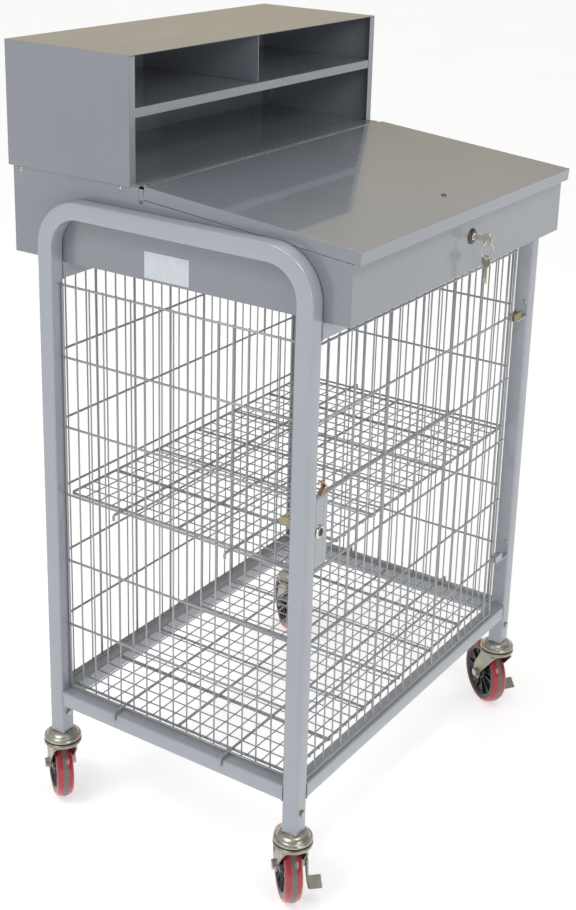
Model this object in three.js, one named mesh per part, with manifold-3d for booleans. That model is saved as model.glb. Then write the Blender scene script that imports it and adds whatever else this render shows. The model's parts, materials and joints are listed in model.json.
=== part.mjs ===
// A mobile sloping-top desk over a wire security cage, on four 5 inch swivel casters.
// Millimetres, +Z up, -Y is the side with the cage door and the writing desk's low edge.
import * as THREE from "three";
import { mergeVertices } from "three/addons/utils/BufferGeometryUtils.js";
import Module from "manifold-3d";

const wasm = await Module();
wasm.setup();

// ---- driving dimensions -------------------------------------------------------------
const frameWidth = 762; // outside to outside of the two end frames
const frameDepth = 522; // outside to outside of an end frame's two legs
const tube = 28.6; // square tube, 1 1/8 inch
const tubeWall = 2;
const legBottom = 156; // where the legs end and the casters begin
const endFrameTop = 1125;
const bendRadius = 82; // outside radius of an end frame's two bends
const railBottom = 212;
const stretcherBottom = 987.2;

const deskWidth = 703.6;
const deskFront = -306.8;
const deskRear = 335;
const deskBottom = 1016;
const sheet = 2; // thickness of the desk's folded sheet steel
const lidFrontTop = 1130;
const lidOverhang = 13.6; // how far the lid reaches past the desk's front
const lidFlange = 21;
const hingeY = 71;
const hingeZ = 1164;

const riserWidth = 707;
const riserFront = 93.2;
const riserRear = 343.7;
const riserBottom = 1158;
const riserTop = 1357.4;
const riserSheet = 1.4;
const riserShelfZ = 1277;
const riserShelfLip = 15;
const dividerX = -16;

const wireGrid = 5; // thickness and width of a cage panel's bars
const panelInset = 6.5; // from a leg's outer face to the middle of the door and the rear panel
const sideInset = 22; // the same for the two side panels
const camRoom = 8.5; // kept free between a side panel's front upright and the leg, where the lock's cam turns
const lowestLevel = 245;
const levelPitch = 122.5; // distance between a panel's horizontal bars
const levels = 7;
const barPitch = 127; // every fifth upright of a 1 inch grid
const doorPivotX = 322;
const latchX = -334;
const latchZ = 676;
const hingeLevels = [355, 845];

const wheelRadius = 63.5;
const wheelWidth = 32;
const casterLead = 36.6; // from the swivel axis to the axle
const casters = [
  { name: "front_left", x: -1, y: -1, heading: 44.3, brake: true },
  { name: "front_right", x: 1, y: -1, heading: 55, brake: true },
  { name: "rear_left", x: -1, y: 1, heading: 51.8, brake: false },
  { name: "rear_right", x: 1, y: 1, heading: 48, brake: false },
];

// The origin is on the floor, under the middle of the whole cart's bounding box.
const originX = 18;
const originY = -2;

const gap = 0.3; // left between pieces that touch
const halfW = frameWidth / 2;
const halfD = frameDepth / 2;
const legX = halfW - tube / 2;
const legY = halfD - tube / 2;
const cageX = halfW - sideInset;
const cageY = halfD - panelInset;
const railTop = railBottom + tube;
const lidAngle = Math.atan2(hingeZ - lidFrontTop, hingeY - deskFront + lidOverhang);

// ---- materials ----------------------------------------------------------------------
const finish = (color, roughness, metalness) =>
  new THREE.MeshStandardMaterial({ color, roughness, metalness });
const enamel = finish(0x9097a1, 0.35, 0.1);
const wireEnamel = finish(0xa9abae, 0.4, 0.1);
const zinc = finish(0xb7b6ad, 0.3, 0.9);
const yellowZinc = finish(0x8c8560, 0.4, 0.8);
const chrome = finish(0xd8d8da, 0.12, 1);
const castBlack = finish(0x1b1c20, 0.45, 0);
const redTread = finish(0xb0142a, 0.35, 0);
const darkSteel = finish(0x4b4a45, 0.45, 0.7);

// ---- helpers ------------------------------------------------------------------------
const cart = new THREE.Group();
const model = new THREE.Group();
model.position.set(-originX, -originY, 0);
cart.add(model);

function add(name, geometry, material, parent = model) {
  const mesh = new THREE.Mesh(geometry, material);
  mesh.name = name;
  parent.add(mesh);
  return mesh;
}

function solid(geometry) {
  let g = geometry.clone();
  g.deleteAttribute("normal");
  g.deleteAttribute("uv");
  g = mergeVertices(g, 1e-4);
  const vertProperties = new Float32Array(g.attributes.position.array);
  const triVerts = new Uint32Array(g.index.array);
  return new wasm.Manifold(new wasm.Mesh({ numProp: 3, vertProperties, triVerts }));
}

function toGeometry(manifold) {
  const mesh = manifold.getMesh();
  const g = new THREE.BufferGeometry();
  g.setAttribute("position", new THREE.BufferAttribute(new Float32Array(mesh.vertProperties), 3));
  g.setIndex(new THREE.BufferAttribute(new Uint32Array(mesh.triVerts), 1));
  g.computeVertexNormals();
  return g;
}

function join(...geometries) {
  return toGeometry(geometries.map(solid).reduce((all, one) => all.add(one)));
}

function cut(body, ...tools) {
  return toGeometry(tools.map(solid).reduce((all, one) => all.subtract(one), solid(body)));
}

// A box given by its lowest and highest corners, which it reaches exactly.
function box(low, high) {
  const g = new THREE.BoxGeometry(1, 1, 1);
  const p = g.attributes.position;
  for (let i = 0; i < p.count; i += 1) {
    const x = p.getX(i) > 0 ? high[0] : low[0];
    const y = p.getY(i) > 0 ? high[1] : low[1];
    const z = p.getZ(i) > 0 ? high[2] : low[2];
    p.setXYZ(i, x, y, z);
  }
  return g;
}

// A cylinder from a point along an axis.
function rod(from, axis, length, radius, sides = 12) {
  const g = new THREE.CylinderGeometry(radius, radius, length, sides);
  if (axis === "x") g.rotateZ(-Math.PI / 2);
  if (axis === "z") g.rotateX(Math.PI / 2);
  const middle = { x: [length / 2, 0, 0], y: [0, length / 2, 0], z: [0, 0, length / 2] }[axis];
  return g.translate(from[0] + middle[0], from[1] + middle[1], from[2] + middle[2]);
}

function outline(points) {
  return new THREE.Shape(points.map(([a, b]) => new THREE.Vector2(a, b)));
}

// A shape drawn in the YZ plane, extruded along X from x0 by width.
function alongX(shape, x0, width, curveSegments = 6) {
  const g = new THREE.ExtrudeGeometry(shape, { depth: width, bevelEnabled: false, curveSegments });
  const toYZ = new THREE.Matrix4().set(0, 0, 1, x0, 1, 0, 0, 0, 0, 1, 0, 0, 0, 0, 0, 1);
  return g.applyMatrix4(toYZ);
}

// A shape drawn in the XZ plane, extruded along Y from y0 by depth.
function alongY(shape, y0, depth, curveSegments = 8) {
  const g = new THREE.ExtrudeGeometry(shape, { depth, bevelEnabled: false, curveSegments });
  g.rotateX(Math.PI / 2);
  return g.translate(0, y0 + depth, 0);
}

// A closed profile of [radius, height] points turned about the Z axis.
function turned(points, segments) {
  const g = new THREE.LatheGeometry(points.map(([r, z]) => new THREE.Vector2(r, z)), segments);
  return g.rotateX(Math.PI / 2);
}

// ---- end frames, rails and stretchers -----------------------------------------------
// The inverted U of an end frame, inset from its outer outline by the given amount.
function archShape(inset, bottom) {
  const side = halfD - inset;
  const top = endFrameTop - inset;
  const radius = bendRadius - inset;
  const innerSide = halfD - tube + inset;
  const innerTop = endFrameTop - tube + inset;
  const innerRadius = bendRadius - tube + inset;
  const s = new THREE.Shape();
  s.moveTo(-side, bottom);
  s.lineTo(-innerSide, bottom);
  s.lineTo(-innerSide, innerTop - innerRadius);
  s.absarc(-innerSide + innerRadius, innerTop - innerRadius, innerRadius, Math.PI, Math.PI / 2, true);
  s.lineTo(innerSide - innerRadius, innerTop);
  s.absarc(innerSide - innerRadius, innerTop - innerRadius, innerRadius, Math.PI / 2, 0, true);
  s.lineTo(innerSide, bottom);
  s.lineTo(side, bottom);
  s.lineTo(side, top - radius);
  s.absarc(side - radius, top - radius, radius, 0, Math.PI / 2, false);
  s.lineTo(-side + radius, top);
  s.absarc(-side + radius, top - radius, radius, Math.PI / 2, Math.PI, false);
  s.closePath();
  return s;
}

function endFrame(x0) {
  const outside = alongX(archShape(0, legBottom), x0, tube);
  const bore = alongX(archShape(tubeWall, legBottom - 5), x0 + tubeWall, tube - 2 * tubeWall);
  return cut(outside, bore);
}

// A square tube between two corners, bored along its length.
function squareTube(low, high, along) {
  const inner = { x: [0, 1, 1], y: [1, 0, 1] }[along];
  const past = 5;
  const boreLow = low.map((v, i) => (inner[i] ? v + tubeWall : v - past));
  const boreHigh = high.map((v, i) => (inner[i] ? v - tubeWall : v + past));
  return cut(box(low, high), box(boreLow, boreHigh));
}

add("left_end_frame", endFrame(-halfW), enamel);
add("right_end_frame", endFrame(halfW - tube), enamel);

const insideX = halfW - tube - gap;
const insideY = halfD - tube - gap;
for (const [name, y] of [["front", -halfD], ["rear", halfD - tube]]) {
  const rail = squareTube([-insideX, y, railBottom], [insideX, y + tube, railTop], "x");
  add(`bottom_rail_${name}`, rail, enamel);
  const stretcherTop = stretcherBottom + tube;
  const bar = squareTube([-insideX, y, stretcherBottom], [insideX, y + tube, stretcherTop], "x");
  add(`top_stretcher_${name}`, bar, enamel);
}
for (const [name, x] of [["left", -halfW], ["right", halfW - tube]]) {
  const rail = squareTube([x, -insideY, railBottom], [x + tube, insideY, railTop], "y");
  add(`bottom_rail_${name}`, rail, enamel);
}

// ---- desk tray, rear deck and lid ---------------------------------------------------
const deskHalf = deskWidth / 2;
const lidRise = Math.tan(lidAngle);
const seatGap = 0.6; // between the lid's flange and the desk's top edge
const sideTop = (y) => hingeZ - (hingeY - y) * lidRise - lidFlange - seatGap;
const deckBottom = hingeZ - 3.2;
const deckFront = hingeY + 6;

function deskProfile(inset) {
  const bottom = deskBottom + inset;
  return outline([
    [deskFront + inset, bottom],
    [deskRear - inset, bottom],
    [deskRear - inset, deckBottom - gap + 4 * inset],
    [deckFront, deckBottom - gap + 4 * inset],
    [deckFront, sideTop(deckFront) + 4 * inset],
    [deskFront + inset, sideTop(deskFront) + 4 * inset],
  ]);
}

const lockX = 12;
const lockZ = 1075;
const lockBore = 10.2;
const lockHole = rod([lockX, deskFront - 5, lockZ], "y", 12, lockBore, 16);
const trayOutside = alongX(deskProfile(0), -deskHalf, deskWidth);
const trayInside = alongX(deskProfile(sheet), -deskHalf + sheet, deskWidth - 2 * sheet);
add("desk_tray", cut(trayOutside, trayInside, lockHole), enamel);

const deckLow = [-deskHalf, deckFront, deckBottom];
const deckHigh = [deskHalf, riserRear - riserSheet - gap, deckBottom + sheet];
add("rear_deck", box(deckLow, deckHigh), enamel);

// The lid is a shallow folded pan, drawn level with the hinge pin's axis at the origin.
const knuckleRadius = 2.9;
const lidTop = knuckleRadius + 0.2;
const hingeAxisZ = hingeZ - lidTop;
const lidLength = (hingeY - deskFront + lidOverhang) / Math.cos(lidAngle);
const lidRearGap = 4;
const lidGroup = new THREE.Group();
lidGroup.position.set(0, hingeY, hingeAxisZ);
lidGroup.rotation.x = lidAngle;
model.add(lidGroup);
const lidBottom = lidTop - lidFlange;
const panLow = [-deskHalf, -lidLength, lidBottom];
const panHigh = [deskHalf, -lidRearGap, lidTop];
const hollowLow = [-deskHalf + sheet, -lidLength + sheet, lidBottom - 5];
const hollowHigh = [deskHalf - sheet, -lidRearGap - sheet, lidTop - sheet];
add("desk_lid", cut(box(panLow, panHigh), box(hollowLow, hollowHigh)), enamel, lidGroup);

// ---- piano hinge: knuckles on the fixed leaf and on the lid's leaf, and one pin -----
const pinRadius = 1.2;
const hingeHalf = 345;
const knuckles = 5;
const leafThickness = 1.2;
const knuckleLength = (2 * hingeHalf) / knuckles;

// One leaf: its plate, every second knuckle from the first, and room for the other leaf's.
function hingeLeaf(first, plate, y, z) {
  const pieces = [plate];
  const notches = [];
  const reach = knuckleRadius + 0.5;
  for (let i = 0; i < knuckles; i += 1) {
    const x = -hingeHalf + i * knuckleLength;
    if (i % 2 === first) {
      pieces.push(rod([x + gap, y, z], "x", knuckleLength - 2 * gap, knuckleRadius, 12));
    } else {
      notches.push(box([x - gap, y - reach, z - reach], [x + knuckleLength + gap, y + reach, z + reach]));
    }
  }
  const bore = rod([-hingeHalf - 5, y, z], "x", 2 * hingeHalf + 10, pinRadius + 0.3, 10);
  return cut(join(...pieces), bore, ...notches);
}

const fixedPlateTop = deckBottom - gap;
const fixedPlateBottom = fixedPlateTop - leafThickness;
const fixedPlate = join(
  box([-hingeHalf, hingeY + 1, fixedPlateBottom], [hingeHalf, hingeY + 30, fixedPlateTop]),
  box([-hingeHalf, hingeY + 1, fixedPlateBottom], [hingeHalf, hingeY + 2.6, hingeAxisZ]),
);
add("lid_hinge_fixed_leaf", hingeLeaf(0, fixedPlate, hingeY, hingeAxisZ), zinc);

// The lid's leaf stands against the back of the lid's rear flange.
const lidPlateY = -lidRearGap + gap;
const lidPlate = box([-hingeHalf, lidPlateY, -16], [hingeHalf, lidPlateY + leafThickness, 0.8]);
add("lid_hinge_lid_leaf", hingeLeaf(1, lidPlate, 0, 0), zinc, lidGroup);
add("lid_hinge_pin", rod([-hingeHalf, hingeY, hingeAxisZ], "x", 2 * hingeHalf, pinRadius, 8), zinc);

// ---- pigeonhole riser ---------------------------------------------------------------
const riserHalf = riserWidth / 2;
const innerHalf = riserHalf - riserSheet;
const riserOutline = outline([
  [-riserHalf, riserBottom],
  [-innerHalf, riserBottom],
  [-innerHalf, riserTop - riserSheet],
  [innerHalf, riserTop - riserSheet],
  [innerHalf, riserBottom],
  [riserHalf, riserBottom],
  [riserHalf, riserTop],
  [-riserHalf, riserTop],
]);
add("riser_shell", alongY(riserOutline, riserFront, riserRear - riserFront), enamel);

const backLow = [-innerHalf + gap, riserRear - riserSheet, riserBottom];
const backHigh = [innerHalf - gap, riserRear, riserTop - riserSheet - gap];
add("riser_back", box(backLow, backHigh), enamel);

const shelfEnd = innerHalf - gap;
const shelfRear = riserRear - riserSheet - gap;
const shelfFront = riserFront + 1;
const shelfSection = outline([
  [shelfFront, riserShelfZ],
  [shelfFront, riserShelfZ - riserShelfLip],
  [shelfFront + 10, riserShelfZ - riserShelfLip],
  [shelfFront + 10, riserShelfZ - riserShelfLip + riserSheet],
  [shelfFront + riserSheet, riserShelfZ - riserShelfLip + riserSheet],
  [shelfFront + riserSheet, riserShelfZ - riserSheet],
  [shelfRear, riserShelfZ - riserSheet],
  [shelfRear, riserShelfZ],
]);
add("riser_shelf", alongX(shelfSection, -shelfEnd, 2 * shelfEnd), enamel);

const dividerLow = [dividerX - riserSheet / 2, shelfFront + 1, riserShelfZ + gap];
const dividerHigh = [dividerX + riserSheet / 2, shelfRear, riserTop - riserSheet - gap];
add("riser_divider", box(dividerLow, dividerHigh), enamel);

// ---- desk lock, its key, and the spare keys on a ring -------------------------------
const lockFace = deskFront - 3.5;
const lockBody = cut(
  join(
    rod([lockX, lockFace, lockZ], "y", 3.2, 13, 20),
    rod([lockX, deskFront - 1, lockZ], "y", 23, lockBore - gap, 16),
  ),
  rod([lockX, lockFace - 2, lockZ], "y", 40, 6.6, 16),
);
add("desk_lock_body", lockBody, chrome);
const plugLength = 28;
const plug = join(
  rod([lockX, lockFace - 0.6, lockZ], "y", plugLength, 6.3, 16),
  rod([lockX, lockFace + plugLength - 2, lockZ], "y", 5, 4, 4),
);
add("desk_lock_plug", plug, chrome);
const camY = lockFace + plugLength + 3.6;
const camShape = outline([[-6, -6], [6, -6], [6, 24], [3, 27], [-3, 27], [-6, 24]]);
add("desk_lock_cam", alongY(camShape, camY, 2.5).translate(lockX, 0, lockZ), zinc);

// The key's blade and bow lie in one upright plane; the ring hangs through the bow.
const bowY = lockFace - 24;
const keyThickness = 2;
const bowRadius = 9.5;
const ringHoleZ = lockZ - 4.5;
const bow = rod([lockX - keyThickness / 2, bowY, lockZ], "x", keyThickness, bowRadius, 18);
const neckLow = [lockX - keyThickness / 2, bowY + 5, lockZ - 3.5];
const neckHigh = [lockX + keyThickness / 2, lockFace - 0.9, lockZ + 3.5];
const bowHoleRadius = 2.8;
const bowHole = rod([lockX - 5, bowY - 1, ringHoleZ], "x", 10, bowHoleRadius, 12);
add("desk_key", cut(join(bow, box(neckLow, neckHigh)), bowHole), chrome);

// The ring hangs through the bow's hole, and the spare key hangs on the ring.
const ringRadius = 12;
const ringWire = 0.9;
const ringPlay = 0.8; // lets the slanted ring swing in the hole without touching its rim
const ringCentreZ = ringHoleZ - bowHoleRadius + ringWire + ringPlay - ringRadius;
const ring = new THREE.TorusGeometry(ringRadius, ringWire, 5, 20);
ring.rotateX(Math.PI / 2);
ring.rotateZ(-Math.PI / 7);
add("key_ring", ring.translate(lockX, bowY - 1, ringCentreZ), chrome);

const spareHoleRadius = 3.4;
const spareHoleZ = ringCentreZ - ringRadius + ringWire + gap - spareHoleRadius;
const spareBow = rod([0, -keyThickness / 2, -4.8], "y", keyThickness, 10, 18);
const blade = box([-3.5, -keyThickness / 2, -41.8], [3.5, keyThickness / 2, -10.8]);
const spare = cut(join(spareBow, blade), rod([0, -6, 0], "y", 12, spareHoleRadius, 12));
spare.rotateZ(Math.PI / 2.4);
spare.translate(lockX, bowY - 1, spareHoleZ);
add("spare_key", spare, chrome);

// ---- wire cage ----------------------------------------------------------------------
// A flat grille of crossing square bars lying in the XY plane, made cell by cell.
function grille(xLines, yLines) {
  const h = wireGrid / 2;
  const xs = xLines.flatMap((x) => [x - h, x + h]);
  const ys = yLines.flatMap((y) => [y - h, y + h]);
  const inside = (list, i) => i >= 0 && i < list.length - 1;
  const isBar = (i, j) => inside(xs, i) && inside(ys, j) && (i % 2 === 0 || j % 2 === 0);
  const corners = [];
  const quad = (a, b, c, d) => corners.push(...a, ...b, ...c, ...a, ...c, ...d);
  const cell = (i, j) => {
    const [x0, x1, y0, y1] = [xs[i], xs[i + 1], ys[j], ys[j + 1]];
    quad([x0, y0, h], [x1, y0, h], [x1, y1, h], [x0, y1, h]);
    quad([x0, y0, -h], [x0, y1, -h], [x1, y1, -h], [x1, y0, -h]);
    if (!isBar(i - 1, j)) quad([x0, y0, h], [x0, y1, h], [x0, y1, -h], [x0, y0, -h]);
    if (!isBar(i + 1, j)) quad([x1, y0, -h], [x1, y1, -h], [x1, y1, h], [x1, y0, h]);
    if (!isBar(i, j - 1)) quad([x0, y0, -h], [x1, y0, -h], [x1, y0, h], [x0, y0, h]);
    if (!isBar(i, j + 1)) quad([x0, y1, h], [x1, y1, h], [x1, y1, -h], [x0, y1, -h]);
  };
  xs.forEach((x, i) => ys.forEach((y, j) => isBar(i, j) && cell(i, j)));
  const g = new THREE.BufferGeometry();
  g.setAttribute("position", new THREE.BufferAttribute(new Float32Array(corners), 3));
  g.computeVertexNormals();
  return g;
}

// Stands a grille up across X at the given y, or across Y at the given x.
const uprightAcrossX = new THREE.Matrix4().set(1, 0, 0, 0, 0, 0, -1, 0, 0, 1, 0, 0, 0, 0, 0, 1);
const uprightAcrossY = new THREE.Matrix4().set(0, 0, 1, 0, 1, 0, 0, 0, 0, 1, 0, 0, 0, 0, 0, 1);
const acrossX = (g, y) => g.applyMatrix4(uprightAcrossX).translate(0, y, 0);
const acrossY = (g, x) => g.applyMatrix4(uprightAcrossY).translate(x, 0, 0);

// Lines from low to high with the inner ones evenly spaced at about the given pitch.
function lines(low, high, pitch) {
  const count = Math.round((high - low) / pitch);
  return Array.from({ length: count + 1 }, (_, i) => low + ((high - low) * i) / count);
}

const levelLines = Array.from({ length: levels }, (_, i) => lowestLevel + i * levelPitch);
const half = wireGrid / 2;
const sideLines = lines(-insideY + camRoom + half, insideY - half, barPitch);
for (const [name, x] of [["left", -cageX], ["right", cageX]]) {
  add(`cage_${name}_panel`, acrossY(grille(sideLines, levelLines), x), wireEnamel);
}
const rearLines = lines(-insideX + half, insideX - half, barPitch);
add("cage_rear_panel", acrossX(grille(rearLines, levelLines), cageY), wireEnamel);

const doorLeft = -insideX + 4;
const doorRight = doorPivotX - 24;
const latchPlateRight = -310;
const doorLines = [doorLeft, ...lines(latchPlateRight, doorRight, barPitch)];
const doorLevels = [...levelLines];
doorLevels[0] += 2;
const latchRow = 3;
add("door_wire_panel", acrossX(grille(doorLines, doorLevels), -cageY), wireEnamel);
// The latch plate fills one opening at the door's free edge.
const plateLow = [doorLeft + half + gap, -cageY - 1, doorLevels[latchRow] + half + gap];
const plateHigh = [latchPlateRight - half - gap, -cageY + 1, doorLevels[latchRow + 1] - half - gap];
const latchBore = rod([latchX, -cageY - 5, latchZ], "y", 10, 9.8, 16);
add("door_latch_plate", cut(box(plateLow, plateHigh), latchBore), enamel);

const latchFace = -cageY - 4.5;
const latchLock = cut(
  join(
    rod([latchX, latchFace, latchZ], "y", 3.2, 11, 20),
    rod([latchX, latchFace + 3, latchZ], "y", 24, 9.5, 16),
  ),
  rod([latchX, latchFace - 2, latchZ], "y", 40, 6.6, 16),
);
add("door_latch_body", latchLock, chrome);
const keeperY = -halfD + tube + 0.4;
const keeperThickness = 3;
const latchCamY = keeperY + keeperThickness + 0.8;
const latchPlug = rod([latchX, latchFace - 0.6, latchZ], "y", latchCamY - latchFace + 2, 6.3, 16);
const latchCamShape = outline([[-8, 8], [-8, -30], [-4, -36], [4, -36], [8, -30], [8, 8]]);
const latchCam = alongY(latchCamShape, latchCamY, 2.5).translate(latchX, 0, latchZ);
add("door_latch_cam", join(latchPlug, latchCam), yellowZinc);

// The keeper is a strap behind the front left leg that the turned cam catches.
const keeperEnd = -halfW + 22;
const keeper = new THREE.Shape();
keeper.moveTo(-halfW + tube - 2, -11);
keeper.lineTo(-halfW + tube - 2, 11);
keeper.lineTo(keeperEnd, 11);
keeper.absarc(keeperEnd, 0, 11, Math.PI / 2, (3 * Math.PI) / 2, false);
keeper.closePath();
const keeperPlate = alongY(keeper, keeperY, keeperThickness).translate(0, 0, latchZ + 14);
add("door_latch_keeper", keeperPlate, yellowZinc);

// Hinge arms stand on the right front leg; the door's blocks hang on their pins.
const hingeNames = ["lower", "upper"];
const armThickness = 4;
const blockHeight = 14;
hingeLevels.forEach((z, i) => {
  const armLow = [doorPivotX - 6, -cageY - 6, z - armThickness];
  const arm = box(armLow, [insideX, -cageY + 6, z - gap]);
  const pin = rod([doorPivotX, -cageY, z - 2], "z", blockHeight + 4, 3, 12);
  add(`door_hinge_arm_${hingeNames[i]}`, join(arm, pin), yellowZinc);
  const blockLow = [doorRight + half + gap, -cageY - 6, z];
  const block = box(blockLow, [doorPivotX + 6, -cageY + 6, z + blockHeight]);
  const bore = rod([doorPivotX, -cageY, z - 5], "z", blockHeight + 10, 3.3, 12);
  add(`door_hinge_block_${hingeNames[i]}`, cut(block, bore), yellowZinc);
});

// Two lift-in wire shelves, each a grille lying flat with its ends inside the cage.
const shelfX = insideX - 5;
const shelfY = insideY - 7;
const shelfGrilleX = lines(-shelfX, shelfX, barPitch);
const shelfGrilleY = lines(-shelfY, shelfY, barPitch);
const bottomShelfZ = railTop + half + gap;
const middleShelfZ = lowestLevel + 3 * levelPitch - 1;
for (const [name, z] of [["bottom", bottomShelfZ], ["middle", middleShelfZ]]) {
  add(`${name}_wire_shelf`, grille(shelfGrilleX, shelfGrilleY).translate(0, 0, z), wireEnamel);
}

// ---- casters ------------------------------------------------------------------------
const wheelSides = 28;
const crownBottom = 129.5;
const crownTop = 138.2;
const legGap = wheelWidth / 2 + 2.4;
const legPlate = 3;
const axleRadius = 5;

function capGeometry() {
  const profile = [
    [0, crownTop + gap], [29, crownTop + gap], [32.5, 141], [32.5, 147], [27.5, 152],
    [15, legBottom - gap], [9.5, legBottom - gap], [9.5, 205], [0, 205],
  ];
  return turned(profile, 16);
}

function forkGeometry() {
  const crown = turned([[0, crownBottom], [29, crownBottom], [33, 132], [33, crownTop], [0, crownTop]], 16);
  const bossRadius = 13;
  const leg = new THREE.Shape();
  leg.moveTo(-26, crownBottom + 3);
  leg.lineTo(-24, crownBottom - 12);
  leg.lineTo(casterLead - bossRadius, wheelRadius + 4);
  leg.absarc(casterLead, wheelRadius, bossRadius, Math.PI, 2 * Math.PI, false);
  leg.lineTo(casterLead + bossRadius - 2, wheelRadius + 16);
  leg.lineTo(27, crownBottom + 3);
  leg.closePath();
  const legs = [legGap, -legGap - legPlate].map((y) => alongY(leg, y, legPlate, 6));
  // A shoulder joins each leg to the crown.
  const shoulders = [1, -1].map((s) => {
    const a = s * (legGap - 8);
    const b = s * (legGap + legPlate);
    return box([-22, Math.min(a, b), crownBottom], [24, Math.max(a, b), crownBottom + 5]);
  });
  const hole = rod([casterLead, -60, wheelRadius], "y", 120, axleRadius + 0.3, 8);
  return cut(join(crown, ...legs, ...shoulders), hole);
}

function axleGeometry() {
  const outer = legGap + legPlate + gap;
  const nut = 7;
  const shaft = rod([casterLead, -outer - nut, wheelRadius], "y", 2 * (outer + nut), axleRadius, 8);
  const heads = [outer, -outer - nut].map((y) => rod([casterLead, y, wheelRadius], "y", nut, 9.5, 6));
  return join(shaft, ...heads);
}

// A wheel part: a closed [radius, across] ring turned about the axle.
function wheelRing(points, segments) {
  const g = new THREE.LatheGeometry(points.map(([r, y]) => new THREE.Vector2(r, y)), segments);
  return g.translate(casterLead, 0, wheelRadius);
}

const coreRadius = 55;
function coreGeometry() {
  const w = wheelWidth / 2 - 1;
  const profile = [
    [5.5, -w - 0.6], [13, -w - 0.6], [15, -w + 6], [44, -w + 6], [48, -w], [coreRadius, -w],
    [coreRadius, w], [48, w], [44, w - 6], [15, w - 6], [13, w + 0.6], [5.5, w + 0.6], [5.5, -w - 0.6],
  ];
  return wheelRing(profile, wheelSides);
}

function treadGeometry() {
  const w = wheelWidth / 2;
  const inner = coreRadius + gap;
  const profile = [
    [inner, -w + 1.5], [57.5, -w + 1], [61, -w + 5], [wheelRadius, -4],
    [wheelRadius, 4], [61, w - 5], [57.5, w - 1], [inner, w - 1.5], [inner, -w + 1.5],
  ];
  return wheelRing(profile, wheelSides);
}

const padSize = 22;
const padTilt = 0.7; // the pad's slope, its low edge towards the stem
function pedalGeometry() {
  const plate = legGap + legPlate + 8.2; // outside the axle's head
  const arm = new THREE.Shape();
  arm.moveTo(casterLead - 9, wheelRadius + 8);
  arm.lineTo(casterLead - 11, wheelRadius - 4);
  arm.quadraticCurveTo(casterLead - 13, wheelRadius - 22, casterLead - 27, wheelRadius - 34);
  arm.lineTo(casterLead - 12, wheelRadius - 30);
  arm.quadraticCurveTo(casterLead + 2, wheelRadius - 18, casterLead + 9, wheelRadius + 4);
  arm.lineTo(casterLead + 4, wheelRadius + 10);
  arm.closePath();
  const side = alongY(arm, -plate - 3, 3, 6);
  const pad = box([-padSize / 2, -padSize, -1.5], [padSize / 2, 0, 1.5]);
  pad.rotateY(-padTilt);
  pad.translate(casterLead - 21, -plate - 1.5, wheelRadius - 27);
  return join(side, pad);
}

for (const { name, x, y, heading, brake } of casters) {
  const group = new THREE.Group();
  group.position.set(x * legX, y * legY, 0);
  group.rotation.z = THREE.MathUtils.degToRad(heading);
  model.add(group);
  const part = (piece, geometry, material) => add(`caster_${name}_${piece}`, geometry, material, group);
  part("cap", capGeometry(), zinc);
  part("fork", forkGeometry(), zinc);
  part("axle", axleGeometry(), zinc);
  part("hub", coreGeometry(), castBlack);
  part("tread", treadGeometry(), redTread);
  if (brake) part("brake_pedal", pedalGeometry(), darkSteel);
}

cart.updateMatrixWorld(true);

export default cart;
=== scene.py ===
"""A mobile sloping-top desk over a wire security cage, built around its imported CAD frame.
Metres, +Z up. The cage door is on the -Y side."""

import json
import math

import bmesh
import bpy
from mathutils import Matrix, Vector


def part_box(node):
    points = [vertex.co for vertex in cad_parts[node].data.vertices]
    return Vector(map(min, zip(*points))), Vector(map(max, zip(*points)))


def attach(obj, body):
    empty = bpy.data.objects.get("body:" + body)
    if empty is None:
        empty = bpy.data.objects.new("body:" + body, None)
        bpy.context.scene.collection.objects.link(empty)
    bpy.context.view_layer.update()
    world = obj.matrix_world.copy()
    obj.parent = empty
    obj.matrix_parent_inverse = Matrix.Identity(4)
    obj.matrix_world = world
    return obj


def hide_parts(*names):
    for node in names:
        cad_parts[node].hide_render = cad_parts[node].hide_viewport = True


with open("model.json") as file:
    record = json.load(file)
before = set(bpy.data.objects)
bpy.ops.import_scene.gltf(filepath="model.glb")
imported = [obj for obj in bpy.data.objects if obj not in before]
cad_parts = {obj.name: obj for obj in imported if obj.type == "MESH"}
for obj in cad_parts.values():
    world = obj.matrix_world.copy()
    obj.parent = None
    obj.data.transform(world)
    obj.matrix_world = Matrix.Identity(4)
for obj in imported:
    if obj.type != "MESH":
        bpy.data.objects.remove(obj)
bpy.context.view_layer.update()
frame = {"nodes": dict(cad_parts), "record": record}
nodes = frame["nodes"]
body_of = {n: body for body, names in frame["record"]["behaviour"]["bodies"].items() for n in names}
MM = 0.001
CORNERS = ("front_left", "front_right", "rear_left", "rear_right")


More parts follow.
